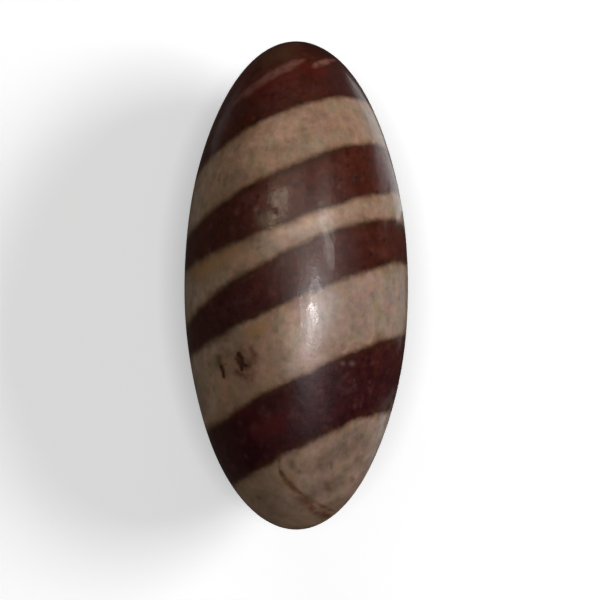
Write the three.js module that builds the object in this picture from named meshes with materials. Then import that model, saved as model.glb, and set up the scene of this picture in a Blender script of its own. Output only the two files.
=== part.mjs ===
// A shiva lingam stone: one solid pebble of banded jasper, worn by a river and then rubbed by hand
// to a long egg. It lies on its belly, on a small spot that is worn flat. Millimetres, +Z up.
// Y runs along the stone and X across it, and the origin is the middle of the flat spot.
import * as THREE from "three";
import { mergeVertices } from "three/addons/utils/BufferGeometryUtils.js";

// Driving dimensions.
const LENGTH = 100; // from tip to tip
const WIDTH = 45.8; // across the widest part
const HEIGHT = 44; // from the flat spot to the crown
const SPOT_DEPTH = 0.6; // how far the flat spot is worn into the round belly
const SPOT_ROUNDING = 0.12; // how softly the rim of the flat spot runs out into the belly

// Rubbing by hand leaves low, broad swells. Each is a plane wave through the stone: its height,
// the way it runs, its length from crest to crest, and how far along a wave it stands at the centre.
const SWELLS = [
  { height: 0.12, runs: [0.3, 1, 0.2], length: 48, start: 0.13 },
  { height: 0.11, runs: [1, 0.5, -0.6], length: 34, start: 0.89 },
  { height: 0.09, runs: [-0.6, 1, 0.7], length: 26, start: 0.11 },
  { height: 0.03, runs: [0.4, -1, 0.9], length: 19, start: 0.3 },
];

// Facets round the girth, and from tip to tip.
const FACETS_ROUND = 64;
const FACETS_ALONG = 56;

const STONE_COLOUR = 0x8c7261; // the tan ground between the maroon bands
const STONE_ROUGHNESS = 0.32; // rubbed and waxed

// The height of all the swells at a point of the plain egg.
function swellHeight(point) {
  return SWELLS.reduce((sum, swell) => {
    const along = point.dot(new THREE.Vector3(...swell.runs).normalize());
    return sum + swell.height * Math.sin(2 * Math.PI * (along / swell.length + swell.start));
  }, 0);
}

// A vertex of the unit ball, taken out to the plain egg and then along the egg's normal by the
// swells. They are whole at the crown and fade to nothing under the belly, where the stone lies.
function swollenPoint(ballVertex, radii) {
  const point = ballVertex.clone().multiply(radii);
  const normal = ballVertex.clone().divide(radii).normalize();
  const fade = (1 + normal.z) / 2;
  return point.addScaledVector(normal, fade * swellHeight(point));
}

// A height over the resting plane after wear: zero where the plane has cut the belly away,
// unchanged well above it, and in between a parabola that meets both without a crease.
function wornHeight(height) {
  if (height <= -SPOT_ROUNDING) {
    return 0;
  }
  if (height >= SPOT_ROUNDING) {
    return height;
  }
  return (height + SPOT_ROUNDING) ** 2 / (4 * SPOT_ROUNDING);
}

// A closed ball with its poles at the stone's tips, swollen, brought to size and worn flat below.
function makeStoneGeometry() {
  const ball = new THREE.SphereGeometry(1, FACETS_ROUND, FACETS_ALONG);
  ball.deleteAttribute("normal");
  ball.deleteAttribute("uv");
  const geometry = mergeVertices(ball);
  const position = geometry.getAttribute("position");
  const unwornSize = new THREE.Vector3(WIDTH, LENGTH, HEIGHT + SPOT_DEPTH);
  const radii = unwornSize.clone().divideScalar(2);

  for (let i = 0; i < position.count; i++) {
    const ballVertex = new THREE.Vector3().fromBufferAttribute(position, i);
    position.setXYZ(i, ...swollenPoint(ballVertex, radii));
  }

  geometry.computeBoundingBox();
  const swollenSize = geometry.boundingBox.getSize(new THREE.Vector3());
  geometry.center();
  geometry.scale(...unwornSize.divide(swollenSize));
  geometry.translate(0, 0, radii.z - SPOT_DEPTH);

  for (let i = 0; i < position.count; i++) {
    position.setZ(i, wornHeight(position.getZ(i)));
  }
  geometry.computeVertexNormals();
  return geometry;
}

function makeStone() {
  const jasper = new THREE.MeshStandardMaterial({
    color: STONE_COLOUR,
    roughness: STONE_ROUGHNESS,
    metalness: 0,
  });
  const stone = new THREE.Mesh(makeStoneGeometry(), jasper);
  stone.name = "stone";
  return stone;
}

const lingam = new THREE.Group();
lingam.add(makeStone());

export default lingam;
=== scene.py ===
# %% [markdown]
# # A shiva lingam stone
# The real thing is a pebble of banded jasper. A river wore it, and hands rubbed and waxed it to a long
# egg. It is one piece of stone, so it is one closed mesh here too. All its interest is in the surface:
# maroon layers that slant through a tan ground, fine mottling, a few stains, two small pits, a shallow
# chip and a healed crack. We make the shape with numpy, and the look of the stone with one procedural
# material.

import bpy
import numpy as np
from mathutils import Matrix, Vector


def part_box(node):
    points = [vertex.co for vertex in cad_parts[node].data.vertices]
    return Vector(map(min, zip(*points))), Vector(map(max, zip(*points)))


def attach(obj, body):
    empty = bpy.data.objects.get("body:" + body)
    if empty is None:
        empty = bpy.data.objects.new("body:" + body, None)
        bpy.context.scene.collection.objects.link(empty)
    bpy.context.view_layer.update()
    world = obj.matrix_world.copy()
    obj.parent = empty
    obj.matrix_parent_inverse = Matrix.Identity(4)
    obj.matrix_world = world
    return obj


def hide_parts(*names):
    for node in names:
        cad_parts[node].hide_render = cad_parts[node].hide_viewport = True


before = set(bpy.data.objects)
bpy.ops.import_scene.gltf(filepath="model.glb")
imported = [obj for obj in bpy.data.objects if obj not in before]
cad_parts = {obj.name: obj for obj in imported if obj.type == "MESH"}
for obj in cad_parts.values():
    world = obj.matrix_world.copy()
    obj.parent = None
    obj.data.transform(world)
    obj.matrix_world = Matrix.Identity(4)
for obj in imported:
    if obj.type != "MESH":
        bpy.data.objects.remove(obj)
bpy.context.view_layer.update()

# %% [markdown]
# ## How large the stone is
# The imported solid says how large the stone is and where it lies, so we read its box and never type a
# size twice. We think in millimetres from here on, because a stone's grain is a fraction of one, and
# turn to metres only when the mesh is made. Y runs along the stone, X across it, and Z is up.

# %% Sizes from the frame
MM = 0.001
low, high = (np.array(corner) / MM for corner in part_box("stone"))
width, length, height = high - low
print("width %.1f, length %.1f, height %.1f mm" % (width, length, height))

# %% [markdown]
# ## The shape: an egg, low swells and a worn spot
# A stone rubbed by hand is close to an egg, but never quite: broad swells a tenth of a millimetre high
# run over it, and they make its reflections waver. We add them as a few plane waves, the same ones as
# in the solid, which fade out under the belly. There the stone has worn a small flat spot, and lies on
# it. A plane cuts the belly off, with a parabola for a soft rim.

# %% Egg, swells and flat spot
SPOT_DEPTH = 0.6  # mm that the flat spot is worn into the round belly
SPOT_ROUNDING = 0.12  # mm over which its rim runs out
SWELLS = (  # height in mm, the way it runs, mm from crest to crest, start along the wave
    (0.12, (0.3, 1, 0.2), 48, 0.13),
    (0.11, (1, 0.5, -0.6), 34, 0.89),
    (0.09, (-0.6, 1, 0.7), 26, 0.11),
    (0.03, (0.4, -1, 0.9), 19, 0.3),
)
unworn = np.array([width, length, height + SPOT_DEPTH])
radii = unworn / 2
centre_height = radii[2] - SPOT_DEPTH  # mm from the floor to the middle of the unworn egg


def swell_height(points):
    """The sum of height * sin(turn * (distance along the wave / length + start)) over the swells."""
    total = np.zeros(points.shape[:-1])
    for wave_height, runs, wave_length, start in SWELLS:
        along = points @ (np.array(runs) / np.linalg.norm(runs))
        total += wave_height * np.sin(2 * np.pi * (along / wave_length + start))
    return total


def worn(z):
    """Zero under the plane, z above it, and (z + r) squared over 4 r within the rounding r."""
    rim = (z + SPOT_ROUNDING) ** 2 / (4 * SPOT_ROUNDING)
    return np.where(z < -SPOT_ROUNDING, 0.0, np.where(z > SPOT_ROUNDING, z, rim))


def stone_surface(latitude, longitude):
    """Points and outward directions of the stone, in mm, from its centre.

    A point of the unit ball is (cos lat * sin lon, sin lat, cos lat * cos lon), so the tips are its
    poles and longitude 0 is the crown. It goes out to the egg's radii, and then along the egg's
    normal by the swells, which count in full at the crown and not at all under the belly.
    """
    ball = np.stack([np.cos(latitude) * np.sin(longitude), np.sin(latitude) + 0 * longitude,
                     np.cos(latitude) * np.cos(longitude)], axis=-1)
    egg = ball * radii
    outward = ball / radii
    outward /= np.linalg.norm(outward, axis=-1, keepdims=True)
    fade = (1 + outward[..., 2]) / 2
    swollen = egg + outward * (fade * swell_height(egg))[..., None]
    lowest, highest = swollen.min(axis=(0, 1)), swollen.max(axis=(0, 1))
    points = (swollen - (lowest + highest) / 2) * unworn / (highest - lowest)
    points[..., 2] = worn(points[..., 2] + centre_height) - centre_height
    return points, outward


print("flat spot about %.0f x %.0f mm" % tuple(2 * r * np.sqrt(1 - (1 - SPOT_DEPTH / radii[2]) ** 2)
                                              for r in radii[:2]))

# %% [markdown]
# ## Grid lines where they are needed
# The smooth back of the stone needs few faces, but its pits and its crack are only half a millimetre
# wide. An even grid that fine would take a million faces, and a subdivision modifier would refine the
# whole stone alike. Instead the grid lines are packed closer where the marks are: we say how dense they
# should be along the way, add that up, and read off the places at equal steps of the sum.

# %% Grid
ROWS, COLUMNS = 320, 298
MARKS_SOUTH_OF = -10.0  # mm: the pits and the crack are on the plain end
MARKS_WITHIN = (-62.0, 52.0)  # degrees of longitude from the crown
CLOSER = 3.0  # times closer than elsewhere
FADE_MM = 8.0  # mm over which the rows go back to their usual spacing
FADE_DEGREES = 20.0  # and the columns
FINE_STEPS = 4001  # places at which the density is added up


def packed_lines(count, places, density):
    """Places at equal steps of the running sum of density: many where it is high, few where low."""
    running = np.concatenate([[0], np.cumsum((density[1:] + density[:-1]) / 2 * np.diff(places))])
    return np.interp(np.linspace(0, running[-1], count), running, places)


def soft_step(x, start, end):
    """0 before start, 1 after end, and 3 t^2 - 2 t^3 between them."""
    t = np.clip((x - start) / (end - start), 0, 1)
    return t * t * (3 - 2 * t)


latitudes = np.linspace(-np.pi / 2, np.pi / 2, FINE_STEPS)
speed = np.hypot(radii[1] * np.cos(latitudes), radii[0] * np.sin(latitudes))
south = 1 - soft_step(radii[1] * np.sin(latitudes), MARKS_SOUTH_OF, MARKS_SOUTH_OF + FADE_MM)
row_lines = packed_lines(ROWS + 2, latitudes, speed * (1 + (CLOSER - 1) * south))[1:-1]

longitudes = np.linspace(-np.pi, np.pi, FINE_STEPS)
degrees = np.degrees(longitudes)
west_end, east_end = MARKS_WITHIN
front = soft_step(degrees, west_end - FADE_DEGREES, west_end)
front *= 1 - soft_step(degrees, east_end, east_end + FADE_DEGREES)
column_lines = packed_lines(COLUMNS + 1, longitudes, 1 + (CLOSER - 1) * front)[:-1]

points, outward = stone_surface(row_lines[:, None], column_lines[None, :])
spacing = np.linalg.norm(np.diff(points, axis=0), axis=-1)
print("rows lie %.2f to %.2f mm apart" % (spacing.min(), spacing.max()))

# %% [markdown]
# ## Pits, a chip and a healed crack
# Near the plain end the stone has two small pits, and a crack that closed again and took up rust. In the
# second band a flake came off and left a shallow chip with a sharper rim. They could be sculpted by hand,
# but a stroke says it in a line: a path of points seen from above, with a width. How much a stroke
# touches a point of the surface is exp(-(distance / width)^2), so its edges are as soft as those of worn
# stone. The same touch carves the mesh and is kept as an attribute, so the colour in a pit always falls
# exactly into it.

# %% Strokes that carve
# Each point is x and y in mm from the stone's middle, seen from above, and the stroke's half width.
PIT_STROKES = (  # the larger pit, its foot, and the smaller pit
    ((-11.5, -13.7, 0.4), (-11.3, -14.8, 0.9), (-11.0, -15.8, 0.7), (-10.9, -17.0, 0.3)),
    ((-10.3, -16.1, 0.34), (-9.9, -16.1, 0.26)),
    ((-15.1, -16.3, 0.36), (-14.8, -16.9, 0.42), (-14.65, -17.6, 0.24), (-14.5, -18.4, 0.28)),
)
CHIP_RIM_STROKES = (
    ((-8.3, 13.9, 0.2), (-7.3, 14.6, 0.3), (-5.7, 14.85, 0.32), (-4.3, 14.5, 0.26), (-3.5, 14.0, 0.18)),
)
CHIP_STROKES = (((-6.5, 13.1, 1.3), (-5.1, 12.8, 1.2)),)
CRACK_STROKES = (
    ((-3.2, -37.4, 0.35), (-2.4, -38.8, 0.6), (-1.3, -40.1, 0.8), (-0.3, -41.1, 0.55),
     (1.0, -42.1, 0.35), (2.0, -42.9, 0.7), (3.2, -43.6, 0.5), (4.6, -44.4, 0.3), (5.4, -44.9, 0.5),
     (6.7, -45.6, 0.36), (7.6, -46.0, 0.22)),
)
print("strokes for the pits %d, the chip %d, its rim %d and the crack %d"
      % tuple(map(len, (PIT_STROKES, CHIP_STROKES, CHIP_RIM_STROKES, CRACK_STROKES))))


# %% How much a stroke touches the surface
FADES_BELOW = (-0.6, 0.0)  # how far the surface looks down where a mark is gone, and where it is whole
CHIP_RIM = 0.84  # how far the chip's rim goes, where a pit goes 1


def touch(points, outward, strokes):
    """exp(-(d / w)^2), where d is the distance to a path seen from above and w its half width.

    The nearest point of a path's straight part is at t = (away . part) / (part . part), held between
    0 and 1, and the strongest touch of all the parts counts. Below the girth it fades out.
    """
    best = np.zeros(points.shape[:-1])
    for stroke in strokes:
        for (x0, y0, w0), (x1, y1, w1) in zip(stroke[:-1], stroke[1:]):
            part = np.array([x1 - x0, y1 - y0])
            away = points[..., :2] - (x0, y0)
            t = np.clip(away @ part / (part @ part), 0, 1)
            distance = np.linalg.norm(away - t[..., None] * part, axis=-1)
            best = np.maximum(best, np.exp(-(distance / (w0 + t * (w1 - w0))) ** 2))
    return best * soft_step(outward[..., 2], *FADES_BELOW)


pit = np.maximum(touch(points, outward, PIT_STROKES), CHIP_RIM * touch(points, outward, CHIP_RIM_STROKES))
chip = touch(points, outward, CHIP_STROKES)
crack = touch(points, outward, CRACK_STROKES)
for name, touched in (("pits", pit), ("chip", chip), ("crack", crack)):
    print("points in the %s: %d" % (name, (touched > 0.5).sum()))

# %% [markdown]
# ## Stains
# Rust has crept out of the pits and the crack, and a few olive smudges lie on the tan. In two bands the
# iron glows red, and the tan is ochre at the end of one strip. All these are only colour, so they carve
# nothing. An image could hold them, but strokes stay sharp at any size and need no unwrapping: they are
# the same kind as before, wider and softer.

# %% Stains
RUST_STROKES = (
    ((-10.4, -16.1, 0.8), (-9.4, -16.1, 0.9), (-8.6, -15.2, 0.9), (-8.3, -13.9, 0.85), (-8.9, -12.8, 0.8)),
    ((-11.8, -17.3, 0.8), (-10.4, -18.2, 1.0), (-9.2, -18.0, 0.9)),
    ((-8.8, -17.4, 0.4), (-8.8, -18.9, 0.35)),
    ((-3.9, -32.4, 0.35), (-3.6, -34.0, 0.35), (-3.4, -35.6, 0.3), (-3.3, -36.9, 0.25), (-3.0, -38, 0.25)),
    ((1.2, -43.1, 0.8), (2.4, -44.2, 1.1), (3.2, -45.2, 0.8)),
    ((5.6, -46.4, 0.8), (6.6, -46.9, 0.7)),
    ((3.9, -46.2, 0.5), (4.6, -46.1, 0.5)),
)
CLOUD_STROKES = (((-11.2, -13.6, 2.2), (-9.4, -17.4, 2.2)),)
BLOB_STROKES = (((-15.5, -14.4, 0.75), (-15.4, -15.6, 0.7)),)
SMUDGE_STROKES = (
    ((-14.8, -16.0, 0.3), (-14.0, -15.8, 0.25)),
    ((-10.6, -16.2, 0.6), (-9.6, -16.2, 0.5), (-9.1, -15.4, 0.35)),
    ((-14.9, -16.6, 0.5), (-14.5, -18.4, 0.45)),
    ((-2.9, -37.8, 0.42), (-1.6, -39.7, 0.6), (-0.4, -41.0, 0.5)),
    ((-17.5, -15.8, 0.3), (-17.5, -16.0, 0.3)),
    ((0.6, -37.3, 0.45), (0.7, -37.4, 0.45)),
    ((6.0, -40.0, 0.75), (6.5, -41.1, 0.75)),
    ((11.2, -39.0, 0.5), (11.5, -39.3, 0.5)),
    ((7.0, -35.6, 0.3), (7.1, -36.8, 0.3)),
    ((-0.9, -35.5, 0.8), (-0.6, -36.5, 0.8)),
    ((5.6, -47.1, 0.6), (6.6, -46.9, 0.5)),
)
RED_STROKES = (((-7.5, -29.0, 2.6), (-3.8, -27.6, 2.4)), ((-13.0, -24.0, 1.4), (-10.5, -25.0, 1.6)),
               ((-8.0, 39.4, 1.6), (-1.0, 42.0, 1.8)), ((1.0, 44.4, 0.9), (5.4, 43.2, 0.9)))
OCHRE_STROKES = (((-19.0, 3.0, 2.2), (-12.5, 6.6, 2.0)), ((-9.4, -9.0, 1.5), (-7.0, -8.6, 1.5)),
                 ((-2.8, -38.2, 1.1), (-0.6, -40.7, 1.1)))
RUST_CLOUD = 0.65  # how strong the soft cloud of rust round the larger pit is
FAINT_SMUDGE = 0.66  # how strong the small smudges are beside the olive blob
rust = np.maximum(touch(points, outward, RUST_STROKES), RUST_CLOUD * touch(points, outward, CLOUD_STROKES))
smudge = np.maximum(FAINT_SMUDGE * touch(points, outward, SMUDGE_STROKES),
                    touch(points, outward, BLOB_STROKES))
red = touch(points, outward, RED_STROKES)
ochre = touch(points, outward, OCHRE_STROKES)
print("points with rust %d, smudge %d, red %d, ochre %d"
      % tuple((stain > 0.5).sum() for stain in (rust, smudge, red, ochre)))

# %% [markdown]
# ## Paler and deeper places
# The tan isn't equally light all over. Along the lower right rim it is lighter, which is painted rim
# light, and it is milky where the highlights fall, which is painted highlight haze. It is also a little
# paler or deeper in places, and the pale strokes at the plain tip and beside the highlight are painted
# light as well. Noise would put such patches anywhere, but each has its own place on this stone, so
# they are strokes too. The shade is above zero where the tan is paler, and below it where it is deeper.
# The smallest strokes of all are a few pale flecks of quartz and three painted glints at the chip.

# %% Paler and deeper places
HIGHLIGHT_HAZE = 0.35  # how strong the painted highlight haze is
# Painted rim light along the lower right rim.
RIM_LIGHT_STROKES = (
    ((20.6, -21.5, 1.0), (19.9, -25.4, 2.3), (18.9, -29.5, 2.3), (16.8, -34.6, 1.5), (14.6, -38.4, 0.4)),
)
# Painted highlight haze where the highlights fall.
HIGHLIGHT_HAZE_STROKES = (
    ((0.8, -11.6, 1.8), (2.4, -15.6, 2.2)),
    ((-0.6, -16.2, 1.8), (3.6, -14.6, 1.8)),
    ((-5.3, 8.5, 2.0), (6.5, 13.0, 2.0)),
    ((5.6, -2.0, 2.4), (5.8, -9.0, 2.4)),
)
# Paler places; the third, at the plain tip, and the fourth, beside the highlight, are painted light.
PALE_AND_PAINTED_LIGHT_STROKES = (
    ((-3.6, 9.7, 1.2), (1.4, 11.6, 1.4), (7.0, 13.8, 1.3)),
    ((-8.4, 28.0, 3.2), (-2.4, 31.0, 3.2)),
    ((-3.6, -48.3, 1.6), (-1.2, -48.6, 1.4)),
    ((-2.0, -4.4, 1.8), (-0.4, -9.8, 2.2), (1.2, -15.8, 2.6)),
)
DEEP_STROKES = (
    ((0.6, -43.2, 1.5), (5.6, -41.0, 2.4), (8.4, -39.4, 1.8)),
    ((5.0, -36.0, 2.0), (8.2, -34.2, 2.6), (12.4, -31.4, 2.6)),
    ((4.5, -46.5, 1.7), (8.5, -44.0, 1.9)),
    ((10.0, -37.0, 1.2), (12.6, -35.0, 1.2)),
    ((-17.6, 3.6, 2.0), (-19.6, 2.6, 2.0)),
    ((-15.2, 7.2, 1.5), (-9.6, 9.6, 1.5)),
)
# The first three, on the chip's edge, are painted glints; the rest are pale flecks in the stone.
FLECK_AND_GLINT_STROKES = (
    ((-8.1, 15.1, 0.5), (-7.8, 15.3, 0.5)),
    ((-4.5, 13.2, 0.45), (-4.2, 12.6, 0.45)),
    ((-11.9, 14.6, 0.35), (-11.7, 14.7, 0.35)),
    ((9.2, -15.6, 0.4), (9.4, -15.7, 0.4)),
    ((11.1, -15.6, 0.5), (11.3, -15.7, 0.5)),
    ((-2.0, 9.4, 0.4), (-1.7, 9.5, 0.4)),
    ((12.2, -37.4, 0.16), (10.7, -40.2, 0.12)),
)
# One attribute for the painted rim light and the painted highlight haze.
painted_light = np.maximum(touch(points, outward, RIM_LIGHT_STROKES), HIGHLIGHT_HAZE * touch(points, outward, HIGHLIGHT_HAZE_STROKES))
shade = touch(points, outward, PALE_AND_PAINTED_LIGHT_STROKES) - touch(points, outward, DEEP_STROKES)
flecks_and_glints = touch(points, outward, FLECK_AND_GLINT_STROKES)
print("shade runs from %.2f to %.2f" % (shade.min(), shade.max()))

# %% [markdown]
# ## The mesh
# First the marks are cut in, straight into the surface. Then the grid becomes a mesh: it closes on itself
# round the girth, and one point closes it at each tip, so there is no open edge anywhere. The corners of
# each face run eastwards and then northwards, which turns its front outwards. Each set of strokes goes
# along as an attribute, one number at each point, which the material can read.

# %% Carve and build
PIT_DEPTH = 0.16  # mm
CRACK_DEPTH = 0.06  # mm
CHIP_DEPTH = 0.05  # mm
depth = PIT_DEPTH * pit + CRACK_DEPTH * crack + CHIP_DEPTH * chip
carved = points - outward * depth[..., None]
print("deepest mark %.2f mm" % depth.max())


def closed_grid(name, grid, south_tip, north_tip, attributes):
    """A mesh of quads over a grid that wraps round in its columns, with a fan at either end."""
    rows, columns = grid.shape[:2]
    number = np.arange(rows * columns).reshape(rows, columns)
    east = np.roll(number, -1, axis=1)
    quads = np.stack([number[:-1], east[:-1], east[1:], number[1:]], axis=-1).reshape(-1, 4)
    south, north = rows * columns, rows * columns + 1
    south_fan = np.stack([np.full(columns, south), east[0], number[0]], axis=-1)
    north_fan = np.stack([number[-1], east[-1], np.full(columns, north)], axis=-1)
    vertices = np.vstack([grid.reshape(-1, 3), south_tip, north_tip])
    mesh = bpy.data.meshes.new(name)
    mesh.from_pydata(vertices, [], quads.tolist() + south_fan.tolist() + north_fan.tolist())
    for attribute_name, values in attributes.items():
        attribute = mesh.attributes.new(attribute_name, "FLOAT", "POINT")
        attribute.data.foreach_set("value", np.append(values.ravel(), [0.0, 0.0]))
    mesh.shade_smooth()
    mesh.validate()
    made = bpy.data.objects.new(name, mesh)
    bpy.context.scene.collection.objects.link(made)
    return made


to_frame = np.array([0, 0, centre_height])
tips = np.array([[0, -radii[1], 0], [0, radii[1], 0]])
marks = {"pit": pit, "crack": crack, "rust": rust, "smudge": smudge, "red": red, "ochre": ochre,
         "chip": chip, "flecks_and_glints": flecks_and_glints, "painted_light": painted_light, "shade": shade}
stone = closed_grid("lingam_stone", (carved + to_frame) * MM, *((tips + to_frame) * MM), marks)
print("faces", len(stone.data.polygons), "triangles", 2 * (ROWS - 1) * COLUMNS + 2 * COLUMNS)

# %% [markdown]
# ## A short hand for shader nodes
# The jasper takes a few hundred nodes. Placed one by one in the editor they would fill a wall, so a few
# helpers keep each pattern to a line: one that adds a node and fills its inputs, and one for each kind of
# sum that we need.

# %% Node helpers
jasper = bpy.data.materials.new("jasper")
jasper.use_nodes = True
tree = jasper.node_tree
tree.nodes.clear()


def node(kind, inputs, **settings):
    """Adds a shader node. An input is given by name or number, as a value or a socket to link."""
    made = tree.nodes.new("ShaderNode" + kind)
    for name, value in settings.items():
        setattr(made, name, value)
    for key, value in inputs.items():
        if isinstance(value, bpy.types.NodeSocket):
            tree.links.new(value, made.inputs[key])
        else:
            made.inputs[key].default_value = value
    return made


def maths(operation, *values):
    """One step of arithmetic on sockets and numbers."""
    return node("Math", dict(enumerate(values)), operation=operation).outputs[0]


def times(a, b):
    """a multiplied by b."""
    return maths("MULTIPLY", a, b)


def plus(a, b):
    """a and b added up."""
    return maths("ADD", a, b)


def ramp(value, start, end, low=0.0, high=1.0):
    """A soft step: low before start, high after end, and smooth between."""
    inputs = {"Value": value, "From Min": start, "From Max": end, "To Min": low, "To Max": high}
    return node("MapRange", inputs, interpolation_type="SMOOTHSTEP").outputs[0]


def colour(code):
    """The linear colour of a code such as #8A7060: ((c + 0.055) / 1.055)^2.4 of each part."""
    parts = np.array([int(code[i:i + 2], 16) for i in (1, 3, 5)]) / 255
    linear = np.where(parts <= 0.04045, parts / 12.92, ((parts + 0.055) / 1.055) ** 2.4)
    return (*linear, 1.0)


def blend(factor, under, over):
    """A colour between two, by a factor from 0 to 1."""
    inputs = {0: factor, 6: under, 7: over}
    return node("Mix", inputs, data_type="RGBA").outputs[2]


# %% [markdown]
# ## Where a point lies in the stone
# A pattern in jasper runs through the whole stone, and the surface only shows where it is cut. So every
# pattern here is a function of the place in space, in mm from the stone's middle. A Mapping node does
# that: it moves the origin up to the middle and makes metres into millimetres.

# %% Place and noise
place = node("Mapping", {
    "Vector": node("TexCoord", {}).outputs["Object"],
    "Location": (0, 0, -centre_height),
    "Scale": (1 / MM, 1 / MM, 1 / MM),
}).outputs[0]
axes = node("SeparateXYZ", {0: place}).outputs


def grain(size, detail, seed):
    """Noise from 0 to 1 around 0.5, with lumps of the given size in mm, or one size for each axis.

    detail says how many finer octaves are added, and another seed gives another pattern, because it
    moves the place where the noise is read.
    """
    sizes = np.broadcast_to(size, 3)
    scaled = node("VectorMath", {0: place, 1: tuple(1 / sizes), 2: (seed, 1.7 * seed, -0.6 * seed)},
                  operation="MULTIPLY_ADD").outputs[0]
    inputs = {"Vector": scaled, "Scale": 1.0, "Detail": detail}
    return node("TexNoise", inputs, noise_dimensions="3D").outputs[0]


def swing(noise, amount):
    """Noise turned into a swing of about plus or minus the amount."""
    return node("MapRange", {"Value": noise, "From Min": 0.25, "From Max": 0.75, "To Min": -amount,
                             "To Max": amount}, clamp=False).outputs[0]


def specks(size, share, seed):
    """1 in small balls scattered through the stone, about size mm apart; share of them show."""
    scaled = node("VectorMath", {0: place, 1: (1 / size,) * 3, 2: (seed, seed, seed)},
                  operation="MULTIPLY_ADD").outputs[0]
    cells = node("TexVoronoi", {"Vector": scaled, "Scale": 1.0}).outputs
    chance = node("SeparateColor", {0: cells["Color"]}).outputs[0]
    ragged = plus(cells["Distance"], swing(grain(size * 0.4, 1, seed + 3), 0.16))
    return times(ramp(ragged, 0.5, 0.12), ramp(chance, 1 - share, 1 - share * 0.3))


# %% [markdown]
# ## The bands
# The maroon bands are layers of iron-rich silt, tilted as the rock was. Each edge of a band is nearly a
# plane: y = height + right * x + up * z. Neighbouring planes aren't quite parallel, so a band is wide on
# one side of the stone and pinches on another. A point's distance from such a plane, with a little
# noise added, says on which side it is. Adding and taking away the steps of all the edges, from the
# dark tip downwards, leaves 1 in the maroon and 0 in the tan. A painted mask would stop at the back, but
# these planes go right through the stone, so the bands meet all the way round.

# %% Band edges
# Height in mm, slope to the right, slope upwards. Maroon lies above the first edge, and between the
# second and third, the fourth and fifth, and the sixth and seventh.
EDGES = ((28.75, 0.417, 0.45), (18.75, 0.444, 0.299), (10.35, 0.375, 0.133), (0.82, 0.465, 0.327),
         (-6.03, 0.44, 0.143), (-21.1, 0.485, 0.138), (-35.62, 0.485, 0.161))
EDGE_BLUR = (0.72, 1.15)  # mm on either side: on the right flank and on the left one


def height_over(edge):
    """How far, in mm, the place lies above the plane of an edge, at right angles to it."""
    rise, right, up = edge
    slant = np.array([-right, 1, -up])
    long = np.linalg.norm(slant)
    along = node("VectorMath", {0: place, 1: tuple(slant / long)}, operation="DOT_PRODUCT").outputs[1]
    return plus(along, -rise / long)


shared_wobble = plus(swing(grain(9, 2, 3.1), 0.3), swing(grain(1.5, 1, 5.7), 0.09))
shared_wobble = plus(shared_wobble, swing(grain(0.9, 1, 8.3), 0.12))
blur = ramp(axes[0], -7.0, -19.0, *EDGE_BLUR)
maroon = 0.0
edge_distance = 100.0  # mm: far from every edge, to start with
for number, edge in enumerate(EDGES):
    own_wobble = swing(grain(5, 1, 11.3 + 2.9 * number), 0.26)
    over = plus(height_over(edge), plus(shared_wobble, own_wobble))
    step = ramp(over, times(blur, -1.0), blur)
    maroon = maths("SUBTRACT" if number % 2 else "ADD", maroon, step)
    edge_distance = maths("MINIMUM", edge_distance, maths("ABSOLUTE", over))
print("edges", len(EDGES), "so bands", (len(EDGES) + 1) // 2)

# %% [markdown]
# ## Slivers in the dark tip
# Two thin seams of paler, pinkish silt lie in the dark tip. Each is the space within about a millimetre
# of a plane, and runs out to a point at both ends.

# %% Slivers
# The plane, the x where it starts and ends in mm, over how many mm each end runs out, and half its
# thickness.
SLIVERS = (((40.96, 0.592, 0.4), (-14.5, 3.2), (5.5, 4.6), 1.16),
           ((42.54, 0.401, 0.045), (2.6, 9.2), (1.4, 3.4), 0.75))
sliver = 0.0
for plane, (start, end), (run_in, run_out), half in SLIVERS:
    from_middle = maths("ABSOLUTE", plus(height_over(plane), swing(grain(2.4, 2, 17.0), 0.22)))
    taper = times(ramp(axes[0], start, start + run_in), ramp(axes[0], end, end - run_out))
    thin = plus(times(from_middle, 1 / half), times(taper, -1.0))
    sliver = maths("MAXIMUM", sliver, times(ramp(thin, 0.4, -0.75), ramp(taper, 0.0, 0.4)))
sliver = times(sliver, ramp(axes[2], 0.0, 3.0))
print("slivers", len(SLIVERS))

# %% [markdown]
# ## The tan ground: broad colours
# Between the bands the stone is a fine sandy tan. It changes slowly from place to place: pinkish in the
# middle and warmer towards the dark tip. Its hue also follows the light, as painted light and shade:
# ochre on the shaded left flank and greyer on the lit right one, with grey low on the right rim as a
# painted reflection of the pale floor. Each broad colour has its own region, a soft step along an axis
# whose border is broken up with large noise, so that no border runs straight. Beyond the healed crack
# lies a smoother, browner piece of stone.

# %% Tan regions
PINK_TAN = colour("#947769")
SHADED_OCHRE_TAN = colour("#9A7357")
GREY_TAN = colour("#8D7D73")
WARM_TAN = colour("#97725A")
RIM_REFLECTION_GREY = colour("#82796F")
TIP_TAN = colour("#957860")
CRACK_PLANE = (-24.14, -1.654, -1.302)  # height in mm, slope to the right, slope upwards
# Painted shade and light: ochre on the shaded left flank, greyer tan on the lit right flank.
shaded_left_flank = ramp(plus(axes[0], swing(grain(9, 2, 19.0), 4.0)), 5.0, -15.0)
lit_right_flank = ramp(plus(axes[0], swing(grain(7, 2, 20.0), 3.0)), 8.0, 23.0, 0.0, 0.8)
left_edge = ramp(plus(axes[0], swing(grain(5, 2, 22.0), 2.0)), -14.0, -21.0, 0.0, 0.7)
northern = ramp(plus(axes[1], swing(grain(8, 2, 21.0), 4.0)), -2.0, 12.0)
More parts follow.
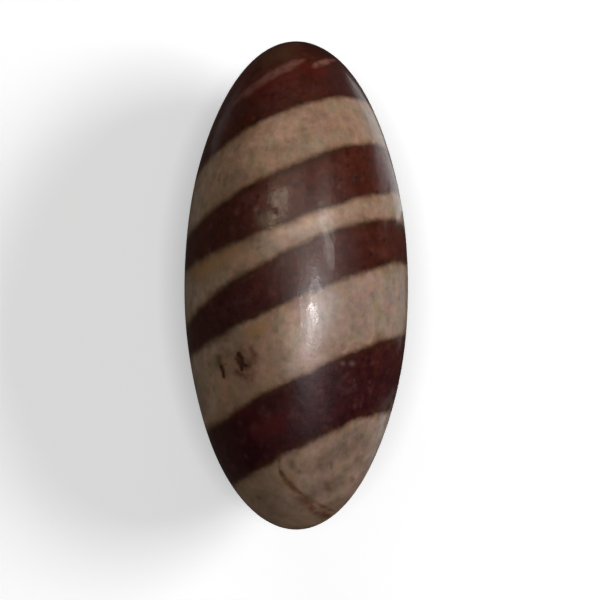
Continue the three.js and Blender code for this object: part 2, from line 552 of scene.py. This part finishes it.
# Painted reflection: grey low on the right rim, where the pale floor would show.
painted_rim_reflection = times(ramp(axes[2], 14.0, 6.0), ramp(axes[0], 4.0, 9.0, 0.0, 0.8))
beyond_crack = times(ramp(height_over(CRACK_PLANE), 0.3, -0.3), ramp(axes[1], -32.0, -36.0))
print("nodes so far", len(tree.nodes))

# %% [markdown]
# ## The tan ground: mottling
# Close by, the tan is made of grains a few millimetres across: dry sand, olive, pink, and brown where
# the ground takes up iron beside a band. One noise for all of them would give stripes of neighbouring
# colours, so each colour has a noise of its own, and the later ones lie over the earlier ones. The
# lightness has its own noises too, with faint streaks along the stone as the silt was laid down.

# %% Tan colour
SAND_TAN = colour("#8C7B63")
OLIVE_TAN = colour("#8F7556")
WARM_PINK = colour("#9C7868")
SHADED_DIM_OLIVE = colour("#7C684C")
BESIDE_BANDS = colour("#80593F")
tan = blend(shaded_left_flank, PINK_TAN, SHADED_OCHRE_TAN)
tan = blend(times(lit_right_flank, plus(times(northern, -0.5), 1.0)), tan, GREY_TAN)
tan = blend(times(northern, 0.65), tan, WARM_TAN)
tan = blend(left_edge, tan, GREY_TAN)
tan = blend(times(painted_rim_reflection, northern), tan, RIM_REFLECTION_GREY)
tan = blend(ramp(grain(4.4, 3, 33.0), 0.47, 0.66, 0.0, 0.75), tan, SAND_TAN)
tan = blend(times(beyond_crack, 0.7), tan, TIP_TAN)
halo = times(ramp(edge_distance, 2.1, 0.3), ramp(grain(2.6, 2, 37.0), 0.35, 0.65, 0.25, 1.0))
tan = blend(times(halo, ramp(axes[0], -6.0, -18.0, 0.55, 0.9)), tan, BESIDE_BANDS)
tan = blend(ramp(grain(2.6, 2, 39.0), 0.5, 0.68, 0.0, 0.55), tan, OLIVE_TAN)
tan = blend(ramp(grain(2.9, 2, 40.0), 0.5, 0.68, 0.0, 0.55), tan, WARM_PINK)
# Dim olive only on the shaded left flank: painted shade.
tan = blend(times(shaded_left_flank, ramp(grain(3.4, 2, 42.0), 0.42, 0.62, 0.0, 0.55)), tan, SHADED_DIM_OLIVE)
print("nodes so far", len(tree.nodes))


# %% Tan lightness
def mark(name, amount):
    """The attribute of that name from the mesh, times an amount."""
    return times(node("Attribute", {}, attribute_name=name).outputs["Fac"], amount)


def lightened(base, factor):
    """A colour made lighter or darker: each of its parts times the factor."""
    return node("VectorMath", {0: base, "Scale": factor}, operation="SCALE").outputs[0]


streaks = times(swing(grain((1.6, 5.0, 1.6), 2, 41.0), 0.12), plus(times(beyond_crack, -0.8), 1.0))
mottle = plus(swing(grain(2.6, 3, 43.0), 0.19), swing(grain(1.2, 1, 45.0), 0.12))
mottle = plus(mottle, swing(grain(6.0, 1, 46.0), 0.08))
sand = swing(grain(0.45, 1, 49.0), 0.05)
tan_shade = plus(plus(plus(streaks, mottle), sand), 1.0)
tan_shade = times(tan_shade, plus(times(specks(1.9, 0.2, 51.0), -0.22), 1.0))
tan_shade = times(tan_shade, plus(mark("shade", 0.36), 1.0))
tan = lightened(tan, tan_shade)
print("nodes so far", len(tree.nodes))

# %% [markdown]
# ## The maroon
# The iron in the bands isn't even: it is browner near the dark tip, purple towards the plain end, and
# here and there it is redder or greyer. A thin brown line follows each edge on the maroon's side, where
# the iron stopped. Small pinkish and nearly black specks lie in it, each a ragged ball from a Voronoi
# texture, of which only a share is shown by chance.

# %% Maroon
BROWN_MAROON = colour("#451C11")
PURPLE_MAROON = colour("#321013")
RED_MAROON = colour("#521A16")
MAUVE_MAROON = colour("#4B2927")
EDGE_BROWN = colour("#3A1D0C")
EDGE_DARK = colour("#2A0F06")
PINK_SPECK = colour("#7A5048")
DARK_SPECK = colour("#1C0906")
patches = plus(swing(grain(12, 2, 55.0), 9.0), swing(grain(3.2, 2, 56.0), 12.0))
towards_plain_end = ramp(plus(axes[1], patches), 16.0, -28.0)
redder = times(ramp(grain(2.2, 3, 61.0), 0.5, 0.7, 0.0, 0.3), plus(times(towards_plain_end, -0.8), 1.0))
edge_line = times(ramp(edge_distance, 1.9, 0.5), ramp(grain(3.4, 3, 67.0), 0.36, 0.58, 0.15, 1.0))
# Painted shade: the maroon darkens towards the shaded left flank.
painted_left_shade = ramp(plus(axes[0], swing(grain(4, 2, 80.0), 3.0)), -8.0, -18.0, 0.0, 0.4)
maroon_shade = plus(swing(grain(1.1, 2, 71.0), 0.26), swing(grain(2.8, 3, 73.0), 0.3))
maroon_shade = plus(plus(maroon_shade, swing(grain(0.4, 1, 75.0), 0.1)), 1.0)
maroon_colour = blend(towards_plain_end, BROWN_MAROON, PURPLE_MAROON)
maroon_colour = blend(redder, maroon_colour, RED_MAROON)
maroon_colour = blend(ramp(grain(2.7, 3, 63.0), 0.52, 0.72, 0.0, 0.6), maroon_colour, MAUVE_MAROON)
maroon_colour = lightened(blend(edge_line, maroon_colour, EDGE_BROWN), maroon_shade)
# The painted shade on the left flank.
maroon_colour = blend(painted_left_shade, maroon_colour, EDGE_DARK)
maroon_colour = blend(times(specks(1.7, 0.24, 77.0), 0.15), maroon_colour, PINK_SPECK)
maroon_colour = blend(times(specks(1.5, 0.35, 79.0), 0.5), maroon_colour, DARK_SPECK)
print("nodes so far", len(tree.nodes))

# %% [markdown]
# ## The dark tip
# The last twenty millimetres of the dark end are the richest part. Its right side is mauve, the far end
# is nearly black on the right and a dark olive on the left, and the two pale slivers run through it. Each
# is a product of two soft steps along different axes, laid over the maroon one after the other.

# %% Dark tip
TIP_MAUVE = colour("#3A1E1B")
TIP_OLIVE = colour("#563822")
SLIVER_PINK = colour("#7D5044")
tip_right = times(ramp(plus(axes[0], swing(grain(3, 2, 85.0), 2.0)), 2.0, 9.0), ramp(axes[1], 32.0, 37.0))
far_tip = plus(axes[1], swing(grain(2.2, 2, 86.0), 1.6))
black_end = times(ramp(axes[0], -1.0, 5.0), ramp(far_tip, 44.0, 48.5, 0.0, 0.8))
olive_end = times(ramp(axes[0], 2.0, -3.0), ramp(far_tip, 43.0, 47.0, 0.0, 0.6))
sliver = times(sliver, ramp(grain(1.7, 2, 88.0), 0.3, 0.6, 0.4, 1.0))
maroon_colour = blend(times(tip_right, 0.75), maroon_colour, TIP_MAUVE)
maroon_colour = blend(black_end, maroon_colour, EDGE_DARK)
maroon_colour = blend(olive_end, maroon_colour, TIP_OLIVE)
maroon_colour = blend(times(sliver, ramp(axes[0], -15.0, -6.0, 0.4, 0.9)), maroon_colour, SLIVER_PINK)
print("nodes so far", len(tree.nodes))

# %% [markdown]
# ## Put together
# The bands go over the ground, and the stains over both. Rust, the painted rim light and the painted
# highlight haze hardly show on maroon, so they are held back there. Noise breaks up both, and the
# painted light fades out below the girth. The colour inside a pit comes last, darkest at its bottom,
# because dirt and wax collect where no hand reaches.

# %% Stains over the ground
STRONG_OCHRE = colour("#9A6E3E")
GLOWING_RED = colour("#601715")
RUST_BROWN = colour("#5C3023")
SMUDGE_OLIVE = colour("#4A3819")
CHIP_OLIVE = colour("#66553F")
# The pale grey of the painted rim light and highlight haze.
PAINTED_LIGHT_GREY = colour("#BEB6AF")
tan = blend(mark("ochre", 0.6), tan, STRONG_OCHRE)
maroon_colour = blend(mark("red", 0.36), maroon_colour, GLOWING_RED)
jasper_colour = blend(maroon, tan, maroon_colour)
tan_mark = plus(times(maroon, -0.8), 1.0)
patchy_rust = ramp(grain(1.3, 2, 95.0), 0.3, 0.6, 0.5, 1.0)
patchy_painted_light = ramp(grain(2.6, 3, 96.0), 0.38, 0.62, 0.3, 1.0)
above_girth = ramp(plus(axes[2], swing(grain(3.6, 2, 99.0), 4.0)), -7.0, 3.0)
patchy_painted_light = times(patchy_painted_light, above_girth)
jasper_colour = blend(times(times(mark("rust", 0.85), tan_mark), patchy_rust), jasper_colour, RUST_BROWN)
jasper_colour = blend(mark("smudge", 0.85), jasper_colour, SMUDGE_OLIVE)
jasper_colour = blend(mark("chip", 0.6), jasper_colour, CHIP_OLIVE)
# Painted rim light and highlight haze, held back on maroon and below the girth.
painted_light_share = times(times(mark("painted_light", 0.75), tan_mark), patchy_painted_light)
jasper_colour = blend(painted_light_share, jasper_colour, PAINTED_LIGHT_GREY)
print("nodes so far", len(tree.nodes))

# %% Crack, pits, flecks and painted glints
CRACK_BROWN = colour("#5C3A20")
PIT_RIM = colour("#633A20")
PIT_BROWN = colour("#3A1604")
PIT_BLACK = colour("#150A05")
FLECK_AND_GLINT_PINK = colour("#8F7266")
crack_filling = times(mark("crack", 0.86), ramp(grain(1.1, 2, 97.0), 0.36, 0.6, 0.35, 1.0))
jasper_colour = blend(crack_filling, jasper_colour, CRACK_BROWN)
worn_pit = times(mark("pit", 1.0), plus(swing(grain(0.7, 2, 98.0), 0.5), 1.0))
in_pit = blend(maroon, PIT_BROWN, PIT_BLACK)
jasper_colour = blend(times(ramp(worn_pit, 0.0, 0.6, 0.0, 0.75), tan_mark), jasper_colour, PIT_RIM)
jasper_colour = blend(ramp(worn_pit, 0.15, 0.8, 0.0, 0.92), jasper_colour, in_pit)
# Pale flecks, and painted glints at the chip's edge.
jasper_colour = blend(mark("flecks_and_glints", 0.3), jasper_colour, FLECK_AND_GLINT_PINK)
print("nodes so far", len(tree.nodes))

# %% [markdown]
# ## Polish
# Rubbing leaves a satin gloss, and a thin layer of wax lies over it as a coat. Both differ a little from
# patch to patch, and the wax has gone from the pits, where no cloth reaches. The surface still has a very
# fine relief, so its reflections have a slightly broken edge. Cutting that into the mesh would take
# millions of faces, so it is a bump: four noises, some of them drawn out along the stone as it was rubbed.

# %% Gloss and relief
RELIEF_HEIGHT = 0.035  # mm
SMOOTHEST = 0.285  # the roughness never falls below this
in_pits = ramp(mark("pit", 1.0), 0.4, 1.0)
roughness = plus(swing(grain(4.0, 3, 81.0), 0.05), swing(grain(0.9, 2, 83.0), 0.04))
roughness = maths("MAXIMUM", plus(plus(roughness, 0.34), times(in_pits, 0.12)), SMOOTHEST)
wax = times(plus(swing(grain(1.6, 3, 87.0), 0.22), 0.45), plus(times(in_pits, -0.8), 1.0))
relief = plus(times(grain(0.6, 1, 89.0), 0.26), times(grain((1.2, 2.2, 1.2), 2, 91.0), 0.6))
relief = plus(relief, times(grain((2.6, 5.0, 2.6), 1, 93.0), 0.7))
relief = plus(relief, times(grain((0.8, 2.6, 0.8), 1, 94.0), 0.38))
bump = node("Bump", {"Strength": 1.0, "Distance": RELIEF_HEIGHT * MM, "Height": relief}).outputs[0]
surface = node("BsdfPrincipled", {
    "Base Color": jasper_colour,
    "Roughness": roughness,
    "IOR": 1.5,
    "Coat Weight": wax,
    "Coat Roughness": 0.1,
    "Coat IOR": 1.45,
    "Normal": bump,
    "Coat Normal": bump,
})
node("OutputMaterial", {"Surface": surface.outputs[0]})
print("jasper has", len(tree.nodes), "nodes")

# %% [markdown]
# ## The stone takes the place of the solid
# The finished mesh rides on the model's only body, stands for its only solid and has its finish.

# %% Tie the stone to the model
stone.data.materials.append(jasper)
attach(stone, "root")
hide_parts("stone")
print(stone.name, "replaces the solid stone")

# %% [markdown]
# ## Floor
# The stone lies on a light table: white paper that also glows a little, so that it stays pale beside a
# dark stone and softens the shadow. Close under the belly the glow dims, as daylight does in a narrow
# gap: a painted contact shadow, which an Ambient Occlusion node measures. A white floor would throw
# light on the flanks and show in the polish. So the paper is hidden from those rays, and a dark cloth
# takes its place for them.

# %% Floor
PAPER_GLOW = 0.6
CONTACT_SHADOW = 14.0  # mm from the stone within which the glow dims
PAPER_WHITE = (0.76, 0.76, 0.76)
CLOTH_BROWN = (0.175, 0.15, 0.128)
FLOOR_REACH = 1500  # mm to each side


def flat_sheet(name, west, east, south, north, lift, albedo, glow=0.0):
    """A sheet that lies level between these sides, in mm, in a plain matt material."""
    sheet = bpy.data.meshes.new(name)
    corners = [(west, south, lift), (east, south, lift), (east, north, lift), (west, north, lift)]
    sheet.from_pydata(np.array(corners) * MM, [], [(0, 1, 2, 3)])
    made = bpy.data.objects.new(name, sheet)
    bpy.context.scene.collection.objects.link(made)
    matt = bpy.data.materials.new(name)
    matt.use_nodes = True
    shader = matt.node_tree.nodes["Principled BSDF"]
    shader.inputs["Base Color"].default_value = (*albedo, 1)
    shader.inputs["Roughness"].default_value = 0.9
    shader.inputs["Emission Color"].default_value = (1, 1, 1, 1)
    shader.inputs["Emission Strength"].default_value = glow
    sheet.materials.append(matt)
    return made


whole_floor = (-FLOOR_REACH, FLOOR_REACH, -FLOOR_REACH, FLOOR_REACH, 0)
paper = flat_sheet("paper", *whole_floor, PAPER_WHITE)
paper.visible_diffuse = False
paper.visible_glossy = False
cloth = flat_sheet("cloth", *whole_floor, CLOTH_BROWN)
cloth.visible_camera = False
cloth.visible_shadow = False
print("floor", 2 * FLOOR_REACH, "mm square")

# %% Glow that dims under the stone, a painted contact shadow
paper_tree = paper.data.materials[0].node_tree
nearness = paper_tree.nodes.new("ShaderNodeAmbientOcclusion")
nearness.inputs["Distance"].default_value = CONTACT_SHADOW * MM
dimmed = paper_tree.nodes.new("ShaderNodeMath")
dimmed.operation = "MULTIPLY"
dimmed.inputs[1].default_value = PAPER_GLOW
paper_tree.links.new(nearness.outputs["AO"], dimmed.inputs[0])
paper_tree.links.new(dimmed.outputs[0], paper_tree.nodes["Principled BSDF"].inputs["Emission Strength"])
print("the glow dims within %.0f mm of the stone" % CONTACT_SHADOW)

# %% [markdown]
# ## Cards
# A polished stone shows its surroundings along its rims, where we look along the surface. Pale cards
# laid flat on the table give those rims their soft bright lines. Lamps there would light the flanks as
# well, so the cards are seen only by reflections.

# %% Cards
CARD_LIFT = 0.5  # mm above the table
CARDS = (  # name, west, east, south and north side in mm, glow
    ("card", 27, 50, 17, 62, 0.82),
    ("card_end", 38, 50, 62, 70, 0.3),
    ("far_card", 50, 150, 31, 50, 0.62),
    ("north_card", 180, 340, 262, 420, 0.14),
    ("east_card", 40, 80, -16, 5, 0.2),
    ("west_card", -76, -38, 40, 66, 0.12),
)
for name, west, east, south, north, glow in CARDS:
    card = flat_sheet(name, west, east, south, north, CARD_LIFT, (0, 0, 0), glow)
    card.visible_camera = False
    card.visible_diffuse = False
    card.visible_shadow = False
print("cards", len(CARDS))

# %% [markdown]
# ## Light
# Two things have to be right at once: how light and dark run over the round form, and what the polish
# reflects. One set of lamps can't be tuned for both, so there are two. The form lamps are large and soft
# and don't show in reflections. The polish lamps are seen only in reflections: a broad dim glow with
# small bright shapes in it, as a bright window and its frame would give. A lamp's place is given as two
# angles from straight above, because that is how a reflection is found: it lies where the surface looks
# halfway between the eye and the lamp.

# %% A lamp
middle = Vector((0, 0, centre_height * MM))
LAMP_DISTANCE = 1.2  # metres


def soft_light(name, right, up, wide, tall, glow, roll=0, tint=(1, 1, 1), form=True, polish=True,
               shape="RECTANGLE"):
    """A rectangle or ellipse of light that spans so many degrees, aimed at the stone.

    It hangs straight above, tilted to the right and up the picture by so many degrees. glow is its
    brightness, where white paper in plain daylight is 1, and its power is glow * pi * area.
    """
    lamp = bpy.data.lights.new(name, "AREA")
    lamp.shape = shape
    lamp.size, lamp.size_y = 2 * LAMP_DISTANCE * np.tan(np.radians([wide, tall]) / 2)
    lamp.color = tint
    area = lamp.size * lamp.size_y * (np.pi / 4 if shape == "ELLIPSE" else 1)
    lamp.energy = glow * np.pi * area
    holder = bpy.data.objects.new(name, lamp)
    bpy.context.scene.collection.objects.link(holder)
    right, up = np.radians([right, up])
    direction = Vector((np.sin(right) * np.cos(up), np.sin(up), np.cos(right) * np.cos(up)))
    holder.location = middle + direction * LAMP_DISTANCE
    sideways = Vector((0, 1, 0)).cross(direction).normalized()
    upright = Matrix((sideways, direction.cross(sideways), direction)).transposed()
    holder.rotation_euler = (upright @ Matrix.Rotation(np.radians(roll), 3, "Z")).to_euler()
    holder.visible_camera = False
    holder.visible_diffuse = form
    holder.visible_glossy = polish
    return holder


def reflected(name, right, up, wide, tall, glow, roll=0, tint=(1, 1, 1), shape="ELLIPSE"):
    """A lamp that is seen only in the polish."""
    return soft_light(name, right, up, wide, tall, glow, roll, tint, form=False, shape=shape)


# %% Lamps that light the form
soft_light("key", 56, 10, 14, 26, 25.0, polish=False)
soft_light("right_fill", 84, 0, 30, 30, 0.6, polish=False)
soft_light("left_fill", -65, 0, 40, 40, 1.12, polish=False)
soft_light("north_fill", -22, 58, 40, 40, 1.7, polish=False)
soft_light("south_fill", -20, -66, 40, 40, 0.9, polish=False)
print("form lamps", len(bpy.data.lights))

# %% Reflections in the dark end and the second band
SAND_LIGHT = (1, 0.9, 0.66)
reflected("haze", -12, 21, 46, 15, 0.42, tint=(1, 0.84, 0.62))
reflected("left_pane", 4.9, 24.5, 12, 14, 0.4, tint=SAND_LIGHT, shape="RECTANGLE")
reflected("right_pane", 32, 24.1, 16, 14, 0.5, tint=SAND_LIGHT, shape="RECTANGLE")
reflected("window", -16.4, 19.8, 20, 7.4, 2.2, tint=(1, 0.85, 0.66), shape="RECTANGLE")
reflected("window_core", -15.6, 20.3, 14, 6.6, 3.0, tint=(1, 0.86, 0.68), shape="RECTANGLE")
reflected("strip", 28.7, 14.8, 15, 4, 5.0, tint=(0.98, 1, 0.96))
print("lamps so far", len(bpy.data.lights))

# %% Reflections in the third band
ROSE_LIGHT = (1, 0.88, 0.8)
reflected("bar", 32.4, 9.9, 6.0, 8.6, 5.8, roll=55, tint=(1, 0.9, 0.86))
reflected("bar_top", 28.2, 13.4, 5.0, 3.6, 4.0, roll=30)
reflected("cloud", 11, 6.8, 24, 9, 0.8, roll=-25, tint=ROSE_LIGHT)
reflected("low_cloud", 24, 5.2, 26, 10, 0.72, roll=20, tint=ROSE_LIGHT)
reflected("spot", 18.8, 4.7, 3.6, 2.0, 9.0)
reflected("left_prong", 15.0, 2.6, 1.9, 6.8, 11.0, roll=-52)
reflected("right_prong", 22.6, 2.3, 2.4, 6.4, 11.0, roll=55)
reflected("left_spot", 7, 2.6, 4, 2.4, 2.0)
print("lamps so far", len(bpy.data.lights))

# %% The highlight on the tan below it
reflected("veil", 4, 4, 36, 51, 0.4, roll=27, tint=(1, 0.86, 0.8))
reflected("glow", 26, -7.0, 38, 15, 1.9, roll=8)
reflected("glow_core", 19.5, -6.5, 24, 13, 1.7)
reflected("core", 17.4, -5.7, 4.8, 11.2, 32.0, roll=54)
reflected("thread", 7.0, -6.0, 1.7, 17, 11.0, roll=20)
reflected("stroke", 17.0, -12.4, 3.6, 9.5, 8.0, roll=-52)
reflected("low_core", 18, -14, 13, 4.2, 2.2)
reflected("lilac", 14.5, -16.4, 24, 5.2, 3.5, tint=(1, 0.8, 0.97))
print("lamps in all", len(bpy.data.lights))

# %% [markdown]
# ## Room
# A pale grey world fills the picture beyond the paper. It lights nothing, because the lamps do.

# %% Room
ROOM_GREY = (0.8, 0.8, 0.8, 1)
world = bpy.data.worlds.new("room")
bpy.context.scene.world = world
world.use_nodes = True
world.node_tree.nodes["Background"].inputs[0].default_value = ROOM_GREY
world.cycles_visibility.diffuse = False
world.cycles_visibility.glossy = False
print("room", world.name)

# %% [markdown]
# ## Camera
# The camera looks straight down with a long lens, with the stone's length up the picture. A long lens
# flattens the form as a distant eye does. The focal length follows from how large the stone should be:
# sensor width * distance / width of the view. The camera is moved sideways, not turned or shifted, to
# put the stone a little left of the middle and above it.

# %% Camera
PICTURE = 600  # pixels on a side
STONE_IN_PICTURE = 488  # pixels from tip to tip
STONE_MIDDLE = (296.2, 285.5)  # pixels from the left and from the top
CAMERA_DISTANCE = 0.7  # metres from the stone's middle
mm_per_pixel = length / STONE_IN_PICTURE
camera_data = bpy.data.cameras.new("camera")
camera_data.lens = camera_data.sensor_width * CAMERA_DISTANCE / (PICTURE * mm_per_pixel * MM)
camera = bpy.data.objects.new("camera", camera_data)
camera.location = (
    (PICTURE / 2 - STONE_MIDDLE[0]) * mm_per_pixel * MM,
    (STONE_MIDDLE[1] - PICTURE / 2) * mm_per_pixel * MM,
    centre_height * MM + CAMERA_DISTANCE,
)
bpy.context.scene.collection.objects.link(camera)
bpy.context.scene.camera = camera
bpy.context.scene.view_settings.view_transform = "Standard"
print("lens %.0f mm" % camera_data.lens)
